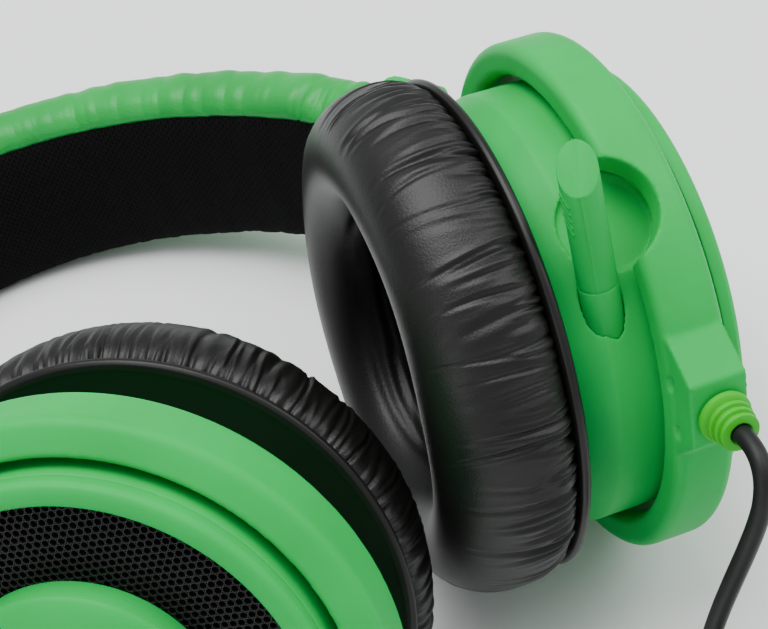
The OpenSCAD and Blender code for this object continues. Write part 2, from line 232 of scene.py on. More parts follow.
def mesh_weave_group() -> bpy.types.NodeTree:
    """Spacer mesh with staggered oval holes, laid out on the piece's own UV map in millimetres; its Holes
    output, 0 inside a hole, darkens the colour there as painted shade.

    Returns:
        The group.
    """
    graph, start, end = group_graph(
        "Spacer Mesh", {"Pitch": PITCH}, {"Height": "NodeSocketFloat", "Holes": "NodeSocketFloat"}
    )
    place = graph.add("UVMap", uv_map="Cloth").outputs["UV"]
    split = graph.add("SeparateXYZ", {0: place})
    across = graph.math("DIVIDE", split.outputs[0], start.outputs["Pitch"])
    along = graph.math("DIVIDE", split.outputs[1], graph.math("MULTIPLY", start.outputs["Pitch"], 0.62))
    row = graph.math("FLOOR", along)
    shift = graph.math("MULTIPLY", graph.math("MODULO", graph.math("ABSOLUTE", row), 2.0), 0.5)
    x = graph.math("SUBTRACT", graph.math("FRACT", graph.math("ADD", across, shift)), 0.5)
    y = graph.math("SUBTRACT", graph.math("FRACT", along), 0.5)
    wide = graph.math("POWER", graph.math("ABSOLUTE", graph.math("MULTIPLY", x, 2.3)), 2.0)
    tall = graph.math("POWER", graph.math("ABSOLUTE", graph.math("MULTIPLY", y, 2.7)), 2.0)
    reach = graph.math("ADD", wide, tall)
    # The hole mask shapes the bump and, as the colour factor, paints shade into the holes.
    hole = graph.add("MapRange", {0: reach, 1: 0.45, 2: 1.05, 3: 0.0, 4: 1.0}, interpolation_type="SMOOTHSTEP")
    thread = graph.add(
        "TexWave",
        {"Vector": place, "Scale": 1.6, "Distortion": 1.2, "Detail": 1.0},
        bands_direction="DIAGONAL",
    )
    height = graph.math("MULTIPLY_ADD", thread.outputs["Fac"], 0.18, hole.outputs[0])
    graph.tree.links.new(height, end.inputs["Height"])
    graph.tree.links.new(hole.outputs[0], end.inputs["Holes"])
    return graph.tree


def handling_group() -> bpy.types.NodeTree:
    """Uneven sheen left by fingers and light rubbing.

    Returns:
        The group.
    """
    graph, start, end = group_graph("Handling", {"Amount": 0.1, "Base": 0.5}, {"Roughness": "NodeSocketFloat"})
    place = graph.add("TexCoord").outputs["Object"]
    smear = graph.add("TexNoise", {"Vector": place, "Scale": 38.0, "Detail": 5.0, "Roughness": 0.62})
    centred = graph.math("SUBTRACT", smear.outputs["Fac"], 0.5)
    value = graph.math("MULTIPLY_ADD", centred, start.outputs["Amount"], start.outputs["Base"])
    graph.tree.links.new(value, end.inputs["Roughness"])
    return graph.tree


# ---------------------------------------------------------------- finishes
@dataclass(frozen=True)
class Finish:
    """One finish: its colours and how its surface answers light."""

    name: str
    slot: str
    dark: Triple
    light: Triple
    rough: float
    grain: str = "moulded"
    scale: float = 2500.0
    bump: float = 0.02
    depth: float = 0.00004
    metallic: float = 0.0
    specular: float = 0.5
    coat: float = 0.0
    sheen: float = 0.0
    smear: float = 0.1


GREEN_PLASTIC = Finish(
    "Green moulded plastic", "green_plastic", (0.0, 0.375, 0.060), (0.0, 0.43, 0.072),
    0.48, bump=0.12, depth=0.00003, specular=0.13,
)
GREEN_SKIN = Finish(
    "Green leatherette", "green_leatherette", (0.0, 0.29, 0.040), (0.0, 0.37, 0.054),
    0.42, "leather", 1300.0, 0.3, 0.00006, specular=0.3,
)
BLACK_SKIN = Finish(
    "Black leatherette", "black_leatherette", (0.0035, 0.0035, 0.003), (0.0065, 0.0065, 0.0058),
    0.42, "leather", 1350.0, 0.22, 0.00006, specular=0.34, smear=0.14,
)
# The spacer mesh's dark colour fills its holes as painted shade; its light colour is the threads.
BLACK_MESH = Finish(
    "Black spacer mesh", "black_mesh", (0.0003, 0.0003, 0.0003), (0.0042, 0.0042, 0.0042),
    0.85, "weave", PITCH, 0.8, 0.0004, specular=0.1,
)
BLACK_PLASTIC = Finish(
    "Black satin plastic", "black_plastic", (0.005, 0.005, 0.0045), (0.008, 0.008, 0.0072),
    0.38, bump=0.1, depth=0.00003, specular=0.3, smear=0.14,
)
STEEL = Finish(
    "Brushed spring steel", "spring_steel", (0.50, 0.51, 0.52), (0.62, 0.63, 0.64),
    0.3, metallic=1.0, bump=0.08,
)
GRILLE = Finish(
    "Black coated steel mesh", "grille_mesh", (0.006, 0.006, 0.006), (0.011, 0.011, 0.011),
    0.4, bump=0.15, specular=0.4,
)
RELIEF = Finish(
    "Lime rubber", "relief_rubber", (0.022, 0.38, 0.008), (0.032, 0.44, 0.012),
    0.5, bump=0.2, specular=0.22,
)
JACKET = Finish(
    "Black cable jacket", "cord_jacket", (0.005, 0.005, 0.005), (0.009, 0.009, 0.009),
    0.5, bump=0.25, scale=3500.0, specular=0.3,
)
GOLD = Finish(
    "Gold plating", "gold_contact", (0.78, 0.55, 0.22), (0.86, 0.63, 0.28),
    0.22, metallic=1.0, bump=0.03,
)
MEMBRANE = Finish(
    "Driver film", "membrane", (0.55, 0.51, 0.38), (0.64, 0.60, 0.46),
    0.4, bump=0.1,
)
CIRCUIT = Finish(
    "Solder mask", "circuit", (0.01, 0.14, 0.055), (0.02, 0.2, 0.09),
    0.35, bump=0.1,
)
EAR_CLOTH = Finish(
    "Acoustic cloth", "acoustic_cloth", (0.003, 0.003, 0.003), (0.009, 0.009, 0.009),
    0.85, scale=4200.0, bump=0.9, depth=0.0002, specular=0.1,
)
FINISHES = (
    GREEN_PLASTIC, GREEN_SKIN, BLACK_SKIN, BLACK_MESH, BLACK_PLASTIC, STEEL, GRILLE, RELIEF, JACKET, GOLD,
    MEMBRANE, CIRCUIT, EAR_CLOTH,
)


class Finisher:
    """Builds the materials and puts them on pieces."""

    def __init__(self) -> None:
        """Builds the shared groups and every finish."""
        self.groups = {"moulded": moulded_group(), "leather": leather_group(), "weave": mesh_weave_group()}
        self.handling = handling_group()
        self.materials = {finish.slot: self.material(finish) for finish in FINISHES}

    def material(self, finish: Finish) -> bpy.types.Material:
        """Builds one finish.

        Args:
            finish: What it is like.

        Returns:
            The material.
        """
        material = bpy.data.materials.new(finish.name)
        material.use_nodes = True
        graph = Graph(material.node_tree)
        shader = material.node_tree.nodes["Principled BSDF"]
        shader.inputs["Metallic"].default_value = finish.metallic
        shader.inputs["Specular IOR Level"].default_value = finish.specular
        shader.inputs["Coat Weight"].default_value = finish.coat
        shader.inputs["Sheen Weight"].default_value = finish.sheen
        shader.inputs["Sheen Roughness"].default_value = 0.5
        texture = graph.add("Group", node_tree=self.groups[finish.grain])
        texture.inputs[0].default_value = finish.scale
        factor = texture.outputs[1]
        if finish.grain != "weave":
            factor = graph.add("MapRange", {0: factor, 1: 0.3, 2: 0.7}).outputs[0]
        # For the spacer mesh the factor is its hole mask, so the dark colour in the holes is painted shade.
        colour = graph.ramp(factor, ((0.0, finish.dark), (1.0, finish.light)))
        material.node_tree.links.new(colour, shader.inputs["Base Color"])
        smear = graph.add("Group", node_tree=self.handling)
        smear.inputs["Amount"].default_value = finish.smear
        smear.inputs["Base"].default_value = finish.rough
        material.node_tree.links.new(smear.outputs[0], shader.inputs["Roughness"])
        bump = graph.add(
            "Bump", {"Strength": finish.bump, "Distance": finish.depth, "Height": texture.outputs["Height"]}
        )
        material.node_tree.links.new(bump.outputs[0], shader.inputs["Normal"])
        return material

    def dress(self, piece: bpy.types.Object, finish: Finish, body: str, *nodes: str) -> bpy.types.Object:
        """Gives a piece its finish, its body and the nodes that it stands for.

        Args:
            piece: The piece.
            finish: Its finish.
            body: The body that it moves with.
            nodes: The frame's nodes that it replaces.

        Returns:
            The piece.
        """
        piece.data.materials.clear()
        piece.data.materials.append(self.materials[finish.slot])
        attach(piece, body)
        if nodes:
            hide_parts(*nodes)
        LOG.info("%s: %d faces, rides on %s", piece.name, len(getattr(piece.data, "polygons", ())), body)
        return piece

    def dress_node(self, node: bpy.types.Object, finish: Finish) -> None:
        """Puts a finish on a node that stays in view.

        Args:
            node: The frame's node.
            finish: Its finish.
        """
        node.data.materials.clear()
        node.data.materials.append(self.materials[finish.slot])


# ---------------------------------------------------------------- modelling helpers
def only(*pieces: bpy.types.Object) -> None:
    """Selects these pieces alone.

    Args:
        pieces: The pieces, the first of which becomes active.
    """
    bpy.ops.object.select_all(action="DESELECT")
    for piece in pieces:
        piece.select_set(True)
    bpy.context.view_layer.objects.active = pieces[0]


def fresh(name: str) -> bpy.types.Object:
    """Names the primitive that was just added, and selects it alone.

    Args:
        name: The piece's name.

    Returns:
        The piece.
    """
    piece = bpy.context.object
    piece.name = name
    piece.data.name = name
    only(piece)
    return piece


def apply(piece: bpy.types.Object, kind: str, **settings: object) -> None:
    """Adds a modifier and applies it.

    Args:
        piece: The piece.
        kind: The modifier's type.
        settings: Its settings.
    """
    only(piece)
    modifier = piece.modifiers.new(kind.title(), kind)
    for name, value in settings.items():
        setattr(modifier, name, value)
    bpy.ops.object.modifier_apply(modifier=modifier.name)


def rounded(piece: bpy.types.Object, width: float, angle: float = 25.0, segments: int = 3) -> None:
    """Rounds a piece's sharp edges.

    Args:
        piece: The piece.
        width: The bevel's width in millimetres.
        angle: Edges sharper than this many degrees are rounded.
        segments: The bevel's segments.
    """
    apply(
        piece, "BEVEL", width=width * MM, segments=segments, limit_method="ANGLE",
        angle_limit=math.radians(angle), use_clamp_overlap=True,
    )


def settle(piece: bpy.types.Object, place: Matrix, smooth: float | None = 32.0) -> bpy.types.Object:
    """Takes a piece from its sub-assembly's frame to its place on the headset.

    Args:
        piece: The piece.
        place: The frame's matrix, in metres.
        smooth: Angle up to which edges shade smooth, or None for all.

    Returns:
        The piece.
    """
    piece.data.transform(place)
    if place.determinant() < 0:
        piece.data.flip_normals()
    only(piece)
    if smooth is None:
        bpy.ops.object.shade_smooth()
    else:
        bpy.ops.object.shade_smooth_by_angle(angle=math.radians(smooth))
    return piece


def turned(name: str, profile: Sequence[Pair], steps: int = 160, bevel: float = 0.0) -> bpy.types.Object:
    """Turns a closed profile about the local X axis.

    Args:
        name: The piece's name.
        profile: Points of (radius, station along X), in millimetres.
        steps: Steps round the turn.
        bevel: Rounding of its corners, in millimetres.

    Returns:
        The piece.
    """
    bpy.ops.mesh.primitive_circle_add(vertices=len(profile), radius=0.01, fill_type="NOTHING")
    piece = fresh(name)
    for vertex, (radius, station) in zip(piece.data.vertices, profile):
        vertex.co = (station * MM, radius * MM, 0.0)
    bpy.ops.object.mode_set(mode="EDIT")
    bpy.ops.mesh.select_all(action="SELECT")
    bpy.ops.mesh.spin(steps=steps, angle=TAU, center=(0, 0, 0), axis=(1, 0, 0))
    bpy.ops.mesh.select_all(action="SELECT")
    bpy.ops.mesh.remove_doubles(threshold=2e-6)
    bpy.ops.mesh.dissolve_degenerate(threshold=1e-6)
    bpy.ops.mesh.normals_make_consistent(inside=False)
    bpy.ops.object.mode_set(mode="OBJECT")
    if bevel:
        rounded(piece, bevel)
    return piece


def lofted(name: str, rings: np.ndarray, closed_along: bool) -> bpy.types.Object:
    """Makes a surface of closed rings of points.

    Args:
        name: The piece's name.
        rings: Points as (rings, points in a ring, 3), in millimetres.
        closed_along: Whether the last ring joins the first; if not, the ends are capped.

    Returns:
        The piece.
    """
    count, width = rings.shape[:2]
    points = rings.reshape(-1, 3) * MM
    if closed_along:
        bpy.ops.object.select_all(action="DESELECT")
        bpy.ops.mesh.primitive_torus_add(major_segments=count, minor_segments=width, generate_uvs=True)
        piece = fresh(name)
        piece.data.vertices.foreach_set("co", points.ravel())
    else:
        mesh = bpy.data.meshes.new(name)
        grid = np.arange(count * width).reshape(count, width)
        after = np.roll(grid, -1, axis=1)
        quads = np.stack([grid[:-1], after[:-1], after[1:], grid[1:]], -1).reshape(-1, 4)
        mesh.from_pydata(points.tolist(), [], [*quads.tolist(), grid[0][::-1].tolist(), grid[-1].tolist()])
        piece = bpy.data.objects.new(name, mesh)
        bpy.context.scene.collection.objects.link(piece)
    consistent(piece)
    return piece


def consistent(piece: bpy.types.Object) -> None:
    """Points a closed piece's faces outwards.

    Args:
        piece: The piece.
    """
    only(piece)
    bpy.ops.object.mode_set(mode="EDIT")
    bpy.ops.mesh.select_all(action="SELECT")
    bpy.ops.mesh.normals_make_consistent(inside=False)
    bpy.ops.object.mode_set(mode="OBJECT")


def positions(piece: bpy.types.Object) -> np.ndarray:
    """The piece's vertices as an array.

    Args:
        piece: The piece.

    Returns:
        Points in metres.
    """
    out = np.empty(len(piece.data.vertices) * 3)
    piece.data.vertices.foreach_get("co", out)
    return out.reshape(-1, 3)


def legs(knots: Sequence, cuts: int, closed: bool = False) -> np.ndarray:
    """A smooth line through knots.

    Args:
        knots: Points that it passes.
        cuts: Points for each leg.
        closed: Whether the last knot joins the first.

    Returns:
        The line's points, ending where the last leg ends.
    """
    p = np.array(knots, float)
    n = len(p)
    out = []
    for i in range(n if closed else n - 1):
        if closed:
            around = (i - 1, i, (i + 1) % n, (i + 2) % n)
        else:
            around = (max(i - 1, 0), i, i + 1, min(i + 2, n - 1))
        a, b, c, d = (p[k] for k in around)
        for k in range(cuts):
            t = k / cuts
            bend, twist = 2 * a - 5 * b + 4 * c - d, 3 * b - a - 3 * c + d
            out.append(0.5 * (2 * b + (c - a) * t + bend * t**2 + twist * t**3))
    return np.array(out + [out[0] if closed else p[-1]])


def fade(value: np.ndarray, low: float, high: float) -> np.ndarray:
    """Smooth step from 0 at low to 1 at high.

    Args:
        value: Numbers to grade.
        low: Where the step starts.
        high: Where it ends.

    Returns:
        Numbers from 0 to 1.
    """
    t = np.clip((value - low) / (high - low), 0, 1)
    return t * t * (3 - 2 * t)


def waves(seed: int, count: int, highest: int) -> Callable[[np.ndarray], np.ndarray]:
    """A smooth seeded wander round a turn.

    Args:
        seed: Seed of the draw.
        count: Number of waves.
        highest: Highest number of waves in a turn.

    Returns:
        A function of the angle in radians, from about -1 to 1.
    """
    draw = random.Random(seed)
    parts = [(draw.randint(1, highest), draw.uniform(0, TAU), draw.uniform(0.4, 1)) for _ in range(count)]
    total = sum(p[2] for p in parts)
    return lambda angle: sum(a * np.sin(k * angle + p) for k, p, a in parts) / total * 1.6


def softened(frame: dict, node: str, voxel: float, passes: int = 6) -> bpy.types.Object:
    """Copies a node, melts its sharp edges and keeps its shape.

    Args:
        frame: The loaded frame.
        node: The node's name.
        voxel: Grid size in millimetres.
        passes: Smoothing passes.

    Returns:
        The piece, in place.
    """
    source = frame["nodes"][node]
    piece = source.copy()
    piece.data = source.data.copy()
    piece.parent = None
    for key in list(piece.keys()):
        del piece[key]
    bpy.context.scene.collection.objects.link(piece)
    piece.name = node + "_shell"
    only(piece)
    bpy.ops.object.mode_set(mode="EDIT")
    bpy.ops.mesh.select_all(action="SELECT")
    bpy.ops.mesh.remove_doubles(threshold=1e-6)
    bpy.ops.object.mode_set(mode="OBJECT")
    apply(piece, "REMESH", mode="VOXEL", voxel_size=voxel * MM)
    apply(piece, "SMOOTH", factor=0.5, iterations=passes)
    only(piece)
    bpy.ops.object.shade_smooth()
    return piece


# ---------------------------------------------------------------- places
@dataclass
class Places:
    """Where things are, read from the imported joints."""

    frame: dict
    upright: Matrix = field(init=False)
    cups: dict[Side, Matrix] = field(init=False)

    def __post_init__(self) -> None:
        """Works out the upright frame and both cup frames."""
        joints = {joint["name"]: joint for joint in self.frame["joints"]}
        hinges = [Vector(joints["fold_" + side.value]["pos_m"]) for side in Side]
        front = Vector(joints["fold_left"]["axis"])
        across = (hinges[0] - hinges[1]).normalized()
        self.upright = self.basis(across, front.cross(across), front, (hinges[0] + hinges[1]) / 2)
        self.cups = {}
        for side, sign in ((Side.LEFT, 1), (Side.RIGHT, -1)):
            swivel = joints["swivel_" + side.value]
            hinge = Vector(swivel["axis"]) * -sign
            front = Vector(joints["tilt_" + side.value]["axis"]) * sign
            self.cups[side] = self.basis(hinge.cross(front) * sign, hinge, front, Vector(swivel["pos_m"]))

    @staticmethod
    def basis(x: Vector, y: Vector, z: Vector, origin: Vector) -> Matrix:
        """A frame's matrix.

        Args:
            x: Its X axis.
            y: Its Y axis.
            z: Its Z axis.
            origin: Its origin.

        Returns:
            The matrix.
        """
        matrix = Matrix((x, y, z)).transposed().to_4x4()
        matrix.translation = origin
        return matrix


# ---------------------------------------------------------------- camera, light, floor
@dataclass
class Studio:
    """Camera, soft lights and a pale floor."""

    eye: Triple = (-0.09134, -0.21804, 0.28593)
    turn: Triple = (41.72, 11.83, -47.07)
    lens: float = 85.18
    aim: Triple = (0.0, 0.0, 0.04)
    ambient: float = 0.62

    def camera(self) -> None:
        """Adds the camera."""
        data = bpy.data.cameras.new("Camera")
        data.lens, data.sensor_width, data.sensor_fit = self.lens, 36.0, "HORIZONTAL"
        camera = bpy.data.objects.new("Camera", data)
        camera.location = self.eye
        camera.rotation_euler = [math.radians(angle) for angle in self.turn]
        bpy.context.scene.collection.objects.link(camera)
        bpy.context.scene.camera = camera

    def light(self, name: str, place: Triple, size: float, watts: float) -> None:
        """Adds a soft area light.

        Args:
            name: The light's name.
            place: Where it hangs.
            size: Its side.
            watts: Its power.
        """
        data = bpy.data.lights.new(name, "AREA")
        data.size, data.energy = size, watts
        lamp = bpy.data.objects.new(name, data)
        lamp.location = place
        lamp.rotation_euler = (Vector(self.aim) - Vector(place)).to_track_quat("-Z", "Y").to_euler()
        bpy.context.scene.collection.objects.link(lamp)

    def build(self) -> None:
        """Adds the lights, the world and the floor."""
        self.light("Key softbox", (0.04, 0.18, 1.10), 0.8, 15.5)
        self.light("Fill softbox", (0.60, -0.45, 0.75), 0.7, 5.0)
        self.light("Left strip", (-0.8, -0.20, 0.40), 0.4, 1.2)
        world = bpy.data.worlds.new("Pale room")
        world.use_nodes = True
        glow = world.node_tree.nodes["Background"]
        glow.inputs["Color"].default_value = (0.95, 0.97, 1.0, 1.0)
        glow.inputs["Strength"].default_value = self.ambient
        bpy.context.scene.world = world
        self.floor()
        LOG.info("studio is set")

    def floor(self) -> None:
        """Adds the pale floor."""
        bpy.ops.object.select_all(action="DESELECT")
        bpy.ops.mesh.primitive_plane_add(size=6.0, location=(0, 0, 0))
        floor = fresh("Floor")
        material = bpy.data.materials.new("White paper sweep")
        material.use_nodes = True
        graph = Graph(material.node_tree)
        shader = material.node_tree.nodes["Principled BSDF"]
        noise = graph.add("TexNoise", {"Vector": graph.add("TexCoord").outputs["Object"], "Scale": 9.0})
        colour = graph.ramp(noise.outputs["Fac"], ((0.0, (0.88, 0.88, 0.88)), (1.0, (0.92, 0.92, 0.92))))
        material.node_tree.links.new(colour, shader.inputs["Base Color"])
        shader.inputs["Roughness"].default_value = 0.75
        shader.inputs["Specular IOR Level"].default_value = 0.2
        floor.data.materials.append(material)


# ---------------------------------------------------------------- cable
@dataclass
class Cable:
    """The free cable: relief, jacket, coil, tie and plug."""

    finisher: Finisher
    places: Places
    diameter: float = 3.2
    centre: Pair = (6.6, -141.3)
    plug_at: Triple = (-21.4, -166.3, 4.5)
    relief: Triple = (3.8, -50.7, 5.3)
    steps: int = 30
    free: tuple[Triple, ...] = (
        (38, -109, 63.1), (37.2, -111, 63.6), (35.6, -113.9, 63.5), (33.7, -116.1, 61.9), (31.9, -117, 58.6),
        (30.5, -116.6, 54), (28.9, -115.3, 47.5), (27, -113.6, 40), (25, -111.9, 32), (23.2, -110.6, 24),
        (21.9, -110.4, 16), (21.4, -112.3, 9), (21.8, -116.6, 4), (23.1, -122.4, 1.9), (25, -129, 1.6),
        (27, -135.4, 1.6), (28, -141.3, 1.6),
    )
    tail: tuple[Triple, ...] = (
        (2.6, -162.7, 11.2), (-2.4, -163.3, 10.7), (-7.4, -164.6, 8.6), (-11, -165.7, 5.8), (-13.4, -166.3, 4.5),
    )
    turns: tuple[Pair, ...] = (
        (21.2, 0), (18, 0), (14.8, 0), (14.8, 1), (18, 1), (21.2, 1), (21.2, 2), (18, 2), (18, 3), (21.2, 3),
    )

    def route(self) -> np.ndarray:
        """The cable's centreline.

        Returns:
            Points in millimetres.
        """
        coil = []
        for number, (radius, level) in enumerate(self.turns):
            last = number == len(self.turns) - 1
            after, rise = (radius, level) if last else self.turns[number + 1]
            for i in range(1, (self.steps * 5 // 4 if last else self.steps) + 1):
                share = max(0.0, min(1.0, (i / self.steps - 0.8) / 0.2))
                share = share * share * (3 - 2 * share)
                r = radius + (after - radius) * share
                z = self.diameter / 2 + self.diameter * (level + (rise - level) * share)
                angle = -TAU * i / self.steps
                coil.append((self.centre[0] + r * math.cos(angle), self.centre[1] + r * math.sin(angle), z))
        return np.vstack([legs(self.free, 4), np.array(coil), legs(self.tail, 4)[1:]])

    def build(self) -> None:
        """Builds the cable and the pieces on it."""
        line = self.route() * MM
        data = bpy.data.curves.new("cable", "CURVE")
        data.dimensions, data.bevel_depth, data.bevel_resolution = "3D", self.diameter * MM / 2, 4
        data.use_fill_caps = True
        spline = data.splines.new("POLY")
        spline.points.add(len(line) - 1)
        spline.points.foreach_set("co", np.hstack([line, np.ones((len(line), 1))]).ravel())
        spline.use_smooth = True
        jacket = bpy.data.objects.new("cable_jacket", data)
        bpy.context.scene.collection.objects.link(jacket)
        self.finisher.dress(jacket, JACKET, "ring_left", "cable", "cable_coil", "cable_tail")
        relief, tie, body, contact = self.strain_relief(), self.tie(), self.plug_body(), self.plug_contact()

    def strain_relief(self) -> bpy.types.Object:
        """The ribbed rubber relief.

        Returns:
            The piece.
        """
        profile = [(1.7, -6.0), (2.9, -6.0), (2.9, 0.1), (4.25, 0.1), (4.45, 0.5), (4.4, 1.1), (3.95, 1.5)]
        for rib in range(3):
            start, wide = 1.7 + 1.35 * rib, 3.85 - 0.28 * rib
            profile += [
                (wide - 0.5, start), (wide - 0.5, start + 0.35), (wide, start + 0.5), (wide, start + 1.05),
                (wide - 0.15, start + 1.2),
            ]
        profile += [(2.55, 5.7), (1.95, 5.75), (1.7, 5.5)]
        piece = turned("strain_relief_boot", profile, 72, 0.14)
        outwards = Matrix(((0, 1, 0, 0), (-1, 0, 0, 0), (0, 0, 1, 0), (0, 0, 0, 1)))
        frame = self.places.cups[Side.LEFT] @ Matrix.Translation(Vector(self.relief) * MM) @ outwards
        return self.finisher.dress(settle(piece, frame, 40), RELIEF, "ring_left", "strain_relief")

    def tie(self) -> bpy.types.Object:
        """The soft strap round the coil.

        Returns:
            The piece.
        """

        def squared(wave: np.ndarray, power: float) -> np.ndarray:
            """Turns a round wave into a squarer one."""
            return np.sign(wave) * np.abs(wave) ** power

        low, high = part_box("cable_tie")
        centre = (Vector(low) + Vector(high)) / 2
        around, section_steps, middle_z, lowest_z = 72, 16, 0.0072, 0.00005
        bpy.ops.object.select_all(action="DESELECT")
        bpy.ops.mesh.primitive_torus_add(
            major_segments=around, minor_segments=section_steps, major_radius=1, minor_radius=0.1
        )
        piece = fresh("cable_strap")
        angle = np.repeat(np.arange(around) / around * TAU, section_steps)
        section = np.tile(np.arange(section_steps) / section_steps * TAU, around)
        wide = squared(np.cos(section), 0.5) * 3.0
        thick = squared(np.sin(section), 0.5) * 0.4
        y = squared(np.cos(angle), 0.6) * (5.35 + thick)
        z = squared(np.sin(angle), 0.6) * (6.75 + thick)
        points = np.stack([centre.x + wide * MM, centre.y + y * MM, middle_z + z * MM], 1)
        points[:, 2] = np.maximum(points[:, 2], lowest_z)
        piece.data.vertices.foreach_set("co", points.ravel())
        consistent(piece)
        bpy.ops.object.shade_smooth()
        return self.finisher.dress(piece, BLACK_PLASTIC, "ring_left", "cable_tie")

    def plug_place(self) -> Matrix:
        """The plug's frame, whose X axis points out of the contact.

        Returns:
            The matrix.
        """
        return Matrix.Translation(Vector(self.plug_at) * MM) @ Matrix.Rotation(math.pi, 4, "Z")

    def plug_body(self) -> bpy.types.Object:
        """The moulded plug handle with its tail.

        Returns:
            The piece.
        """
        profile = [(1.5, -8), (2.1, -8), (2.5, -7.4)]
        for rib in range(4):
            start = -6.6 + 1.5 * rib
            profile += [
                (2.2, start - 0.3), (2.2, start), (2.75, start + 0.25), (2.75, start + 0.8), (2.6, start + 0.95),
            ]
        profile += [
            (2.9, -0.3), (4.0, 0.6), (4.45, 2.0), (4.45, 5), (4.1, 5.6), (4.1, 11), (4.45, 11.6), (4.45, 15.6),
            (4.0, 16.9), (2.2, 17), (0, 17), (0, -8),
        ]
        piece = turned("plug_handle", profile, 72, 0.12)
        return self.finisher.dress(settle(piece, self.plug_place(), 40), BLACK_PLASTIC, "ring_left", "plug_body")

    def plug_contact(self) -> bpy.types.Object:
        """The plated contact with its insulating steps.

        Returns:
            The piece.
        """
        profile = [(0, 16), (1.75, 16), (1.75, 19.4)]
        for place in (19.4, 22.4, 25.4):
            profile += [(1.62, place + 0.05), (1.62, place + 0.6), (1.75, place + 0.65), (1.75, place + 2.9)]
        profile += [(1.5, 28.6), (1.3, 28.9), (1.72, 29.6), (1.3, 30.5), (0.4, 31.0), (0, 31.0)]
        piece = turned("plug_pin", profile, 64, 0.06)
        return self.finisher.dress(settle(piece, self.plug_place(), 40), GOLD, "ring_left", "plug_contact")


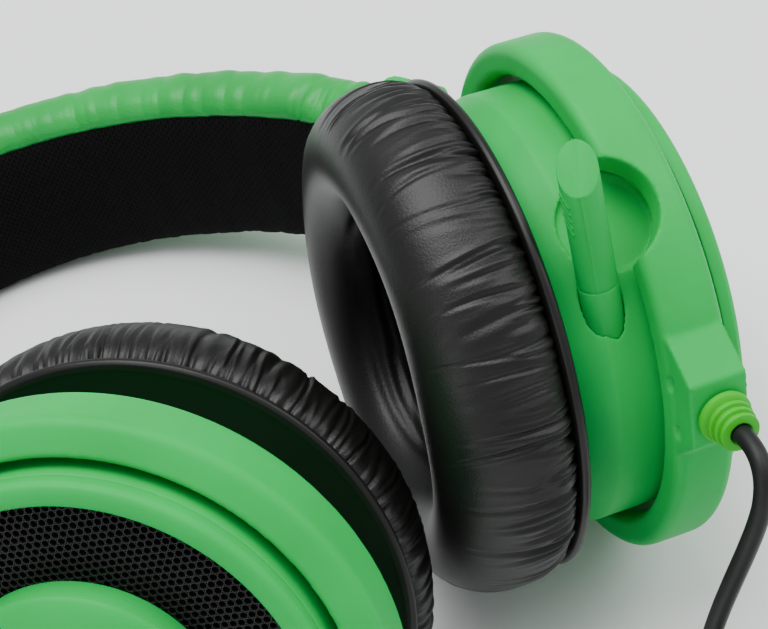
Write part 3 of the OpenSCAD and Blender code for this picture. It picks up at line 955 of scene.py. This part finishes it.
# ---------------------------------------------------------------- headband
@dataclass
class Headband:
    """The padded arch: leatherette cover outside, mesh pad inside."""

    finisher: Finisher
    places: Places
    half_span: float = 80.0
    rise: float = 105.0
    base: float = 10.0
    half_width: float = 17.0
    tuck_count: int = 96
    cover_section: tuple[Pair, ...] = (
        (-17.4, 11.2), (-17.9, 9.0), (-18.0, 6.0), (-17.2, 2.2), (-14.4, 0.1), (-8, -0.5), (0, -0.6), (8, -0.55),
        (14.6, -0.2), (17.6, 1.4), (18.6, 4.6), (18.5, 8.4), (17.4, 11.0), (15.4, 12.3), (13.4, 12.4),
        (12.9, 10.8), (12.6, 8.4), (0, 8.2), (-12, 8.2), (-15.6, 8.6),
    )
    pad_section: tuple[Pair, ...] = (
        (13.6, 11.8), (12.2, 12.9), (8, 13.8), (0, 14.4), (-6, 14.6), (-11, 14.5), (-15.4, 13.8), (-18.0, 12.2),
        (-18.6, 10.2), (-17.2, 9.0), (-12, 8.6), (0, 8.4), (8, 8.6), (13.0, 9.6),
    )

    def surface(self, angle: np.ndarray, depth: np.ndarray, across: np.ndarray) -> np.ndarray:
        """Points of the arch.

        Args:
            angle: Angle along the arch, in degrees.
            depth: Depth from its outer line, in millimetres.
            across: Place from back to front, in millimetres.

        Returns:
            Points in the upright frame.
        """
        turn = np.radians(angle)
        return np.stack(
            [(self.half_span - depth) * np.cos(turn), self.base + (self.rise - depth) * np.sin(turn), across], -1
        )

    @staticmethod
    def loop(knots: Sequence[Pair], count: int) -> np.ndarray:
        """Even points round a smooth closed section.

        Args:
            knots: Points of (across, depth).
            count: How many points to give.

        Returns:
            The points.
        """
        fine = legs(knots, LEG_CUTS, closed=True)
        run = np.concatenate([[0], np.linalg.norm(np.diff(fine, axis=0), axis=1).cumsum()])
        at = np.linspace(0, run[-1], count, endpoint=False)
        return np.stack([np.interp(at, run, fine[:, k]) for k in range(2)], -1)

    def sweep(
        self, name: str, section: np.ndarray, ends: Pair, count: int, swell: Callable
    ) -> bpy.types.Object:
        """Sweeps a section along the arch.

        Args:
            name: The piece's name.
            section: Points of (across, depth).
            ends: First and last angle.
            count: Rings along the arch.
            swell: Function of (angle, across, depth) that gives new (across, depth).

        Returns:
            The piece, in place, with a UV map named Cloth in millimetres.
        """
        angle = np.linspace(ends[0], ends[1], count)[:, None] + np.zeros(len(section))
        across = section[:, 0][None, :] + np.zeros((count, 1))
        depth = section[:, 1][None, :] + np.zeros((count, 1))
        across, depth = swell(angle, across, depth)
        piece = lofted(name, self.surface(angle, depth, across), False)
        layer = piece.data.uv_layers.new(name="Cloth")
        index = np.empty(len(piece.data.loops), int)
        piece.data.loops.foreach_get("vertex_index", index)
        run = np.radians(angle.ravel()) * ARCH_RADIUS
        girth = np.concatenate([[0], np.linalg.norm(np.diff(section, axis=0), axis=1).cumsum()])
        uv = np.stack([np.tile(girth, count), run], -1)[index]
        layer.data.foreach_set("uv", uv.ravel())
        return settle(piece, self.places.upright, None)

    def build(self) -> None:
        """Builds the cover, the pad and the two forks."""
        draw = random.Random(11)
        step = (ARCH[1] - ARCH[0]) / self.tuck_count
        tucks = [
            (
                ARCH[0] + step * (i + draw.uniform(0.2, 0.8)), draw.uniform(0.35, 0.9),
                draw.uniform(0.15, 0.8), draw.uniform(-0.5, 0.5),
            )
            for i in range(self.tuck_count)
        ]
        tucks += [
            (
                ARCH[k] + (1 if k == 0 else -1) * draw.uniform(0.5, 9), draw.uniform(0.4, 0.8),
                draw.uniform(0.7, 1.3), draw.uniform(-0.6, 0.6),
            )
            for k in (0, 1) for _ in range(9)
        ]
        lumps = waves(5, 9, 34)

        def crease(angle: np.ndarray, lean: np.ndarray) -> np.ndarray:
            """How deep the tucks are at an angle, each slanting across the arch by its own share of lean."""
            total = np.zeros_like(angle)
            for place, width, deep, slant in tucks:
                x = (angle - place - slant * lean) / width
                total += deep * np.exp(-np.abs(x) ** 1.3)
            return total

        def tip(angle: np.ndarray) -> np.ndarray:
            """How far the arch has rounded off towards its nearer end, from 0 to 1."""
            return 1 - fade(np.minimum(angle - ARCH[0], ARCH[1] - angle), 0, 2.2) ** 0.5

        def cover_swell(
            angle: np.ndarray, across: np.ndarray, depth: np.ndarray
        ) -> tuple[np.ndarray, np.ndarray]:
            """Puffs the cover between its tucks, most beside the pad's seam."""
            lift = fade(np.abs(across), 7, 15)
            inner = fade(depth, 5.0, 11.5)
            pull = crease(angle, (depth - 6) * 0.25) * (0.10 + 0.62 * inner) * lift
            puff = lumps(np.radians(angle) * 3) * 0.35 * lift
            shrink = 1 - (pull - puff) / self.half_width - 0.07 * tip(angle)
            return across * shrink, depth + (pull * 0.35 - puff * 0.4 + tip(angle)) * np.where(depth < 6, 1, -1)

        def pad_swell(
            angle: np.ndarray, across: np.ndarray, depth: np.ndarray
        ) -> tuple[np.ndarray, np.ndarray]:
            """Draws the pad in at its tucked edges and lets its face roll softly."""
            edge = fade(np.abs(across + 2.4), 10, 16)
            pull = crease(angle + 1.1, across * 0.05) * 0.34 * edge
            roll = lumps(np.radians(angle) * 2 + 1) * 0.35
            skin = fade(depth, 8, 11)
            return across * (1 - pull * 0.03), depth - (pull - roll) * skin

        cover = self.sweep("headband_cover", self.loop(self.cover_section, 96), ARCH, 700, cover_swell)
        self.finisher.dress(cover, GREEN_SKIN, "headband", "band_cover")
        pad_ends = (ARCH[0] + 0.9, ARCH[1] - 0.9)
        pad = self.sweep("headband_pad", self.loop(self.pad_section, 72), pad_ends, 560, pad_swell)
        self.finisher.dress(pad, BLACK_MESH, "headband", "band_pad")
        for side in Side:
            shell = softened(self.places.frame, "fork_" + side.value, 0.25, 6)
            self.finisher.dress(shell, GREEN_PLASTIC, "arm_" + side.value, "fork_" + side.value)


# ---------------------------------------------------------------- cups
@dataclass
class Cushion:
    """A gathered leatherette ear cushion."""

    finisher: Finisher
    place: Matrix
    side: Side
    thick: float = 2.2
    around: int = 240
    rings: int = 30
    seat: float = -17.3
    deep: float = 19.0
    section: tuple[Pair, ...] = (
        (42.9, -17.3), (44.4, -18.8), (45.3, -21.4), (45.5, -24.8), (44.8, -28.6), (42.9, -32.4), (39.8, -35.2),
        (36.0, -36.6), (31.8, -36.5), (28.2, -34.6), (25.6, -31.2), (24.4, -26.6), (24.1, -21.8), (25.2, -18.4),
        (27.5, -17.0), (34.0, -17.0), (40.0, -17.0),
    )

    @property
    def thick_at(self) -> float:
        """Angle round the ear, in degrees, where the foam is thickest."""
        return 190.0 if self.side is Side.LEFT else 40.0

    def base(self, around: int, rings: int, shrink: float) -> np.ndarray:
        """The cushion's plain shape.

        Args:
            around: Sections round the ear.
            rings: Points in a section.
            shrink: How far the section is drawn in, in millimetres.

        Returns:
            Points in the cup frame as (around, rings, 3).
        """
        loop = Headband.loop(self.section, rings)
        middle = loop.mean(axis=0)
        out = loop - middle
        loop = middle + out * (1 - shrink / np.linalg.norm(out, axis=1, keepdims=True))
        turn = np.arange(around) / around * TAU
        radius, station = loop[:, 0], loop[:, 1]
        lean = self.thick * 0.5 * (1 + np.cos(turn - math.radians(self.thick_at)))
        return np.stack([
            station + (station - self.seat) / self.deep * lean[:, None],
            radius * np.cos(turn)[:, None],
            radius * np.sin(turn)[:, None],
        ], -1)

    def inflate(self, piece: bpy.types.Object, cap: float) -> None:
        """Blows the cushion up as cloth, with its mounting edge held.

        Args:
            piece: The cushion in millimetres times MM.
            cap: Furthest that a point may move, in millimetres.
        """
        rest = positions(piece)
        pins = piece.vertex_groups.new(name="held")
        for index in np.nonzero(rest[:, 0] > -18.2 * MM)[0].tolist():
            pins.add([index], 1.0, "REPLACE")
        only(piece)
        cloth = piece.modifiers.new("Cloth", "CLOTH")
        settings = cloth.settings
        settings.quality = 5
        settings.mass = 0.15
        settings.tension_stiffness = settings.compression_stiffness = 20.0
        settings.bending_stiffness = 0.6
        settings.use_pressure = True
        settings.uniform_pressure_force = 4.0
        settings.vertex_group_mass = "held"
        settings.effector_weights.gravity = 0.0
        cloth.collision_settings.use_collision = False
        cloth.point_cache.frame_start, cloth.point_cache.frame_end = 1, 20
        scene = bpy.context.scene
        for number in range(1, 21):
            scene.frame_set(number)
        moved = piece.evaluated_get(bpy.context.evaluated_depsgraph_get())
        swollen = np.empty(len(moved.data.vertices) * 3)
        moved.data.vertices.foreach_get("co", swollen)
        shift = swollen.reshape(-1, 3) - rest
        size = np.linalg.norm(shift, axis=1, keepdims=True)
        shift *= np.minimum(1.0, cap * MM / np.maximum(size, 1e-9))
        piece.modifiers.remove(cloth)
        scene.frame_set(1)
        piece.data.vertices.foreach_set("co", (rest + shift).ravel())
        piece.vertex_groups.clear()

    def gather(self, piece: bpy.types.Object) -> None:
        """Sculpts the gathers beside the bead and the long folds round the ear.

        Args:
            piece: The cushion after the last subdivision.
        """
        draw = random.Random(31 if self.side is Side.LEFT else 47)
        points = positions(piece)
        normal = np.empty(len(points) * 3)
        piece.data.vertices.foreach_get("normal", normal)
        normal = normal.reshape(-1, 3)
        station, radius = points[:, 0] / MM, np.hypot(points[:, 1], points[:, 2]) / MM
        turn = np.arctan2(points[:, 2], points[:, 1])
        outer = fade(radius, 33, 38)
        run = np.clip((-17.5 - station) / 17, 0, 1.2) + 0.9 * (1 - fade(radius, 34, 43))
        push = np.zeros(len(points))
        gathers = [
            (
                TAU * (i + draw.uniform(0.05, 0.95)) / 150,
                math.radians(draw.choice((0.4, 0.5, 0.7, 0.95)) * draw.uniform(0.85, 1.2)),
                draw.uniform(0.18, 0.55),
                draw.uniform(0.35, 1.2) if draw.random() < 0.72 else draw.uniform(1.1, 1.8),
                math.radians(draw.uniform(-2, 2)),
            )
            for i in range(150)
        ]
        gathers += [
            (
                draw.uniform(0, TAU), math.radians(draw.uniform(0.3, 0.5)), draw.uniform(0.15, 0.38),
                draw.uniform(0.2, 0.5), 0.0,
            )
            for _ in range(170)
        ]
        for number, (angle, width, deep, reach, slant) in enumerate(gathers):
            sway = math.radians(0.5) * np.sin(run * 4 + number)
            gap = np.abs((turn - angle - slant * run - sway + math.pi) % TAU - math.pi)
            near = gap < width * 5
            x = gap[near] / width
            along = fade(run[near], reach, reach * 0.35)
            push[near] -= deep * np.exp(-x**1.3) * along
            push[near] += deep * 0.4 * np.exp(-((x - 2.1) ** 2)) * along
        push *= outer
        for _ in range(16):
            angle = draw.uniform(0, TAU)
            level = draw.uniform(-33.5, -20.5)
            long_ = draw.uniform(0.35, 0.9)
            tilt = draw.uniform(-3.0, 3.0)
            wide = draw.uniform(0.7, 1.4)
            deep = draw.uniform(0.3, 0.75)
            gap = (turn - angle + math.pi) % TAU - math.pi
            across = station - level - tilt * gap - 0.8 * np.sin(gap * 4 + angle)
            inside = (1 - fade(radius, 29.5, 33)) * fade(radius, 23.4, 24.4)
            push -= deep * np.exp(-((across / wide) ** 2) - (gap / long_) ** 2) * inside
        wander = waves(3 if self.side is Side.LEFT else 4, 6, 7)(turn)
        push += wander * 0.22 * fade(-station, 19, 24)
        points += normal * (push * MM)[:, None]
        piece.data.vertices.foreach_set("co", points.ravel())

    def build(self) -> None:
        """Builds the cushion."""
        name = "cushion_" + self.side.value
        piece = lofted(name + "_cover", self.base(self.around, self.rings, 0.35), True)
        self.inflate(piece, 0.9)
        apply(piece, "SUBSURF", levels=2, render_levels=2)
        self.gather(piece)
        settle(piece, self.place, None)
        self.finisher.dress(piece, BLACK_SKIN, "cup_" + self.side.value, name)


@dataclass
class Cup:
    """One ring, drum and everything that the drum carries."""

    finisher: Finisher
    places: Places
    side: Side
    disc: float = 22.0

    @property
    def place(self) -> Matrix:
        """The cup's frame."""
        return self.places.cups[self.side]

    def name(self, piece: str) -> str:
        """A piece's name on this side.

        Args:
            piece: Its name without the side.

        Returns:
            The full name.
        """
        return f"{piece}_{self.side.value}"

    def turn(self, piece: str, profile: Sequence[Pair], finish: Finish, bevel: float) -> bpy.types.Object:
        """Turns a piece of the cup about its axis.

        Args:
            piece: The node that it stands for.
            profile: Points of (radius, station).
            finish: Its finish.
            bevel: Rounding of its corners.

        Returns:
            The piece.
        """
        made = settle(turned(self.name(piece) + "_part", profile, 192, bevel), self.place, 30)
        return self.finisher.dress(made, finish, self.name("cup"), self.name(piece))

    def shell(self, piece: str, body: str, voxel: float, passes: int) -> None:
        """Stands a softened green copy in for a moulded node.

        Args:
            piece: The node.
            body: The body that it rides on.
            voxel: Grid size in millimetres.
            passes: Smoothing passes.
        """
        made = softened(self.places.frame, self.name(piece), voxel, passes)
        self.finisher.dress(made, GREEN_PLASTIC, self.name(body), self.name(piece))

    def grille(self) -> None:
        """The pierced hexagon mesh and the felt behind it."""
        pitch, outer, inner, face = 1.3, 36.0, 21.6, 12.75
        high = pitch * math.sqrt(3) / 2
        across, down = 60, 68
        bpy.ops.object.select_all(action="DESELECT")
        bpy.ops.mesh.primitive_circle_add(
            vertices=6, radius=pitch / math.sqrt(3) * MM, fill_type="NGON", rotation=(0, 0, math.pi / 6)
        )
        piece = fresh(self.name("grille_mesh"))
        bpy.ops.object.transform_apply(location=True, rotation=True, scale=True)
        bpy.ops.object.mode_set(mode="EDIT")
        bpy.ops.mesh.select_all(action="SELECT")
        bpy.ops.mesh.inset(thickness=0.10 * MM, depth=0.0)
        bpy.ops.mesh.extrude_region_move(TRANSFORM_OT_translate={"value": (0, 0, -0.12 * MM)})
        bpy.ops.transform.resize(value=(0.90, 0.90, 1.0))
        bpy.ops.mesh.extrude_region_move(TRANSFORM_OT_translate={"value": (0, 0, -0.6 * MM)})
        bpy.ops.mesh.delete(type="ONLY_FACE")
        bpy.ops.mesh.select_all(action="SELECT")
        bpy.ops.transform.translate(value=(-pitch * (across / 2 + down / 4) * MM, -high * down / 2 * MM, 0))
        bpy.ops.object.mode_set(mode="OBJECT")
        rows = (across + down // 2, (pitch * MM, 0, 0)), (down, (pitch / 2 * MM, high * MM, 0))
        for count, offset in rows:
            apply(
                piece, "ARRAY", count=count, use_relative_offset=False, use_constant_offset=True,
                constant_offset_displace=offset,
            )
        reach = np.array([p.center[:2] for p in piece.data.polygons])
        reach = np.hypot(reach[:, 0], reach[:, 1]) / MM
        bpy.ops.object.mode_set(mode="EDIT")
        bpy.ops.mesh.select_all(action="DESELECT")
        bpy.ops.object.mode_set(mode="OBJECT")
        piece.data.polygons.foreach_set("select", (reach > outer) | (reach < inner))
        bpy.ops.object.mode_set(mode="EDIT")
        bpy.ops.mesh.delete(type="FACE")
        bpy.ops.mesh.select_all(action="SELECT")
        bpy.ops.mesh.remove_doubles(threshold=5e-6)
        bpy.ops.object.mode_set(mode="OBJECT")
        points = positions(piece)
        points = np.stack([points[:, 2] + face * MM, points[:, 0], points[:, 1]], -1)
        piece.data.vertices.foreach_set("co", points.ravel())
        settle(piece, self.place, 20)
        self.finisher.dress(piece, GRILLE, self.name("cup"), self.name("grille"))
        back = turned(self.name("grille_felt"), [(21.0, 11.0), (36.1, 11.0), (36.1, 11.7), (21.0, 11.7)], 96)
        self.finisher.dress(settle(back, self.place, 30), EAR_CLOTH, self.name("cup"))

    def build(self) -> None:
        """Builds the cup."""
        self.turn(
            "bezel",
            [
                (34.9, 11.6), (38.8, 11.6), (38.8, 13.5), (38.2, 14.3), (37.4, 14.6), (35.9, 14.6), (35.2, 14.4),
                (34.9, 13.9),
            ],
            GREEN_PLASTIC, 0.25,
        )
        arc = [k / 14 * 0.5 * math.pi for k in range(14, -1, -1)]
        dome = [(self.disc * math.sin(a), 16.8 + 3.7 * math.cos(a) ** 1.15) for a in arc]
        self.turn("centre_disc", [(0, 12.8), (self.disc, 12.8)] + dome, GREEN_PLASTIC, 0.0)
        self.turn(
            "flange",
            [
                (27, -17.4), (43.2, -17.4), (43.75, -17.2), (44, -16.6), (43.85, -16.0), (43.3, -15.6),
                (42.4, -15.55), (41.8, -15.8), (35.4, -15.8), (35, -15.4), (35, -14.45), (27, -14.45),
            ],
            BLACK_PLASTIC, 0.15,
        )
        self.grille()
        if self.side is Side.LEFT:
            self.shell("drum", "cup", 0.36, 6)
        else:
            self.turn(
                "drum",
                [
                    (35.2, 11.6), (38.8, 11.6), (38.8, -8), (35.4, -14.4), (29.5, -14.4), (29.5, -12.2),
                    (33.4, -12.2), (35.2, -8.6),
                ],
                GREEN_PLASTIC, 0.5,
            )
        self.shell("yoke_ring", "ring", 0.38, 7)
        self.shell("knuckle", "hinge", 0.22, 5)
        Cushion(self.finisher, self.place, self.side).build()


# ---------------------------------------------------------------- microphone
@dataclass
class Microphone:
    """The pull-out boom and its head."""

    finisher: Finisher
    places: Places
    at: Triple = (-7.0, -32.5, 19.9)
    lean: float = -5.0
    boom: float = 2.85
    head: float = 3.2
    rib_step: float = 1.2
    joint: float = 3.5
    tip: float = 24.0
    ribs_at: float = 188.0

    @property
    def place(self) -> Matrix:
        """The boom's frame, whose Z axis points to its head."""
        lean = Matrix.Rotation(math.radians(self.lean), 4, "Y")
        return self.places.cups[Side.LEFT] @ Matrix.Translation(Vector(self.at) * MM) @ lean

    def rib(self, number: int) -> bpy.types.Object:
        """One slanting grip rib on the head.

        Args:
            number: Its place in the row.

        Returns:
            The rib.
        """
        bpy.ops.object.select_all(action="DESELECT")
        bpy.ops.mesh.primitive_cube_add(size=1.0)
        rib = fresh(f"microphone_rib_{number}")
        rib.scale = (0.8 * MM, 2.9 * MM, 0.5 * MM)
        bpy.ops.object.transform_apply(location=True, rotation=True, scale=True)
        rounded(rib, 0.16, 30, 2)
        at = Vector((self.head - 0.28, 0, self.tip - 9.0 + number * self.rib_step)) * MM
        turn = Matrix.Rotation(math.radians(self.ribs_at), 4, "Z")
        rib.data.transform(turn @ Matrix.Translation(at) @ Matrix.Rotation(math.radians(-48), 4, "X"))
        return rib

    def build(self) -> None:
        """Builds the head, its ribs and the boom."""
        long = self.tip + 6 - self.joint
        bpy.ops.object.select_all(action="DESELECT")
        bpy.ops.mesh.primitive_cylinder_add(
            vertices=72, radius=self.head * MM, depth=long * MM, location=(0, 0, (self.joint + long / 2) * MM)
        )
        piece = fresh("microphone_head")
        bpy.ops.object.transform_apply(location=True, rotation=True, scale=True)
        tilt = Matrix.Rotation(math.radians(-24), 3, "Y") @ Matrix.Rotation(math.radians(40), 3, "X")
        face = tilt @ Vector((0, 0, 1))
        ridge = (Vector((0, 0, 1)) - face * face.z).normalized()
        bpy.ops.object.mode_set(mode="EDIT")
        bpy.ops.mesh.select_mode(type="EDGE")
        bpy.ops.mesh.select_all(action="SELECT")
        bpy.ops.mesh.bisect(plane_co=(0, 0, self.tip * MM), plane_no=face, clear_outer=True)
        bpy.ops.mesh.select_all(action="DESELECT")
        bpy.ops.mesh.select_non_manifold()
        bpy.ops.mesh.edge_face_add()
        bpy.ops.mesh.bisect(plane_co=(0, 0, self.tip * MM), plane_no=ridge.cross(face))
        bpy.ops.transform.translate(value=face * 0.3 * MM)
        bpy.ops.mesh.select_all(action="SELECT")
        bpy.ops.mesh.normals_make_consistent(inside=False)
        bpy.ops.object.mode_set(mode="OBJECT")
        rounded(piece, 0.55, 20, 4)
        ribs = [self.rib(number) for number in range(5)]
        only(piece, *ribs)
        bpy.ops.object.join()
        settle(piece, self.place, 28)
        self.finisher.dress(piece, GREEN_PLASTIC, "microphone", "mic_head")
        boom = turned(
            "microphone_boom",
            [
                (1.0, -33), (2.3, -33), (2.3, -31.5), (self.boom, -31.3), (self.boom, -6), (self.head, -6),
                (self.head, 3.0), (3.0, 3.2), (3.0, self.joint), (1.0, self.joint),
            ],
            72, 0.1,
        )
        boom.data.transform(Matrix.Rotation(-math.pi / 2, 4, "Y"))
        self.finisher.dress(settle(boom, self.place, 30), GREEN_PLASTIC, "microphone", "mic_boom")


# ---------------------------------------------------------------- plain nodes
NODE_FINISHES: tuple[tuple[Finish, tuple[str, ...]], ...] = (
    (STEEL, (
        "spring_band", "housing_screws", "slider", "fold_pin", "tilt_pins", "baffle_screws", "basket", "magnet",
        "mic_capsule",
    )),
    (GREEN_PLASTIC, ("housing",)),
    (BLACK_PLASTIC, ("baffle", "mic_bush", "mic_stop")),
    (MEMBRANE, ("diaphragm",)),
    (EAR_CLOTH, ("ear_cloth",)),
    (CIRCUIT, ("circuit_board",)),
)


def dress_nodes(frame: dict, finisher: Finisher) -> None:
    """Puts finishes on the nodes that stay in view.

    Args:
        frame: The loaded frame.
        finisher: Holder of the materials.
    """
    for finish, names in NODE_FINISHES:
        for name in names:
            for full in (name, name + "_left", name + "_right"):
                if full in frame["nodes"]:
                    finisher.dress_node(frame["nodes"][full], finish)
    LOG.info("inner parts have their finishes")


def main(frame: dict) -> None:
    """Builds the whole headset.

    Args:
        frame: The loaded frame.
    """
    logging.basicConfig(level=logging.INFO, format="%(name)s: %(message)s")
    bpy.ops.object.select_all(action="DESELECT")
    studio = Studio()
    studio.camera()
    finisher = Finisher()
    places = Places(frame)
    Cable(finisher, places).build()
    studio.build()
    Headband(finisher, places).build()
    for side in Side:
        Cup(finisher, places, side).build()
    Microphone(finisher, places).build()
    dress_nodes(frame, finisher)


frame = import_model()

if __name__ == "__main__":
    main(frame)
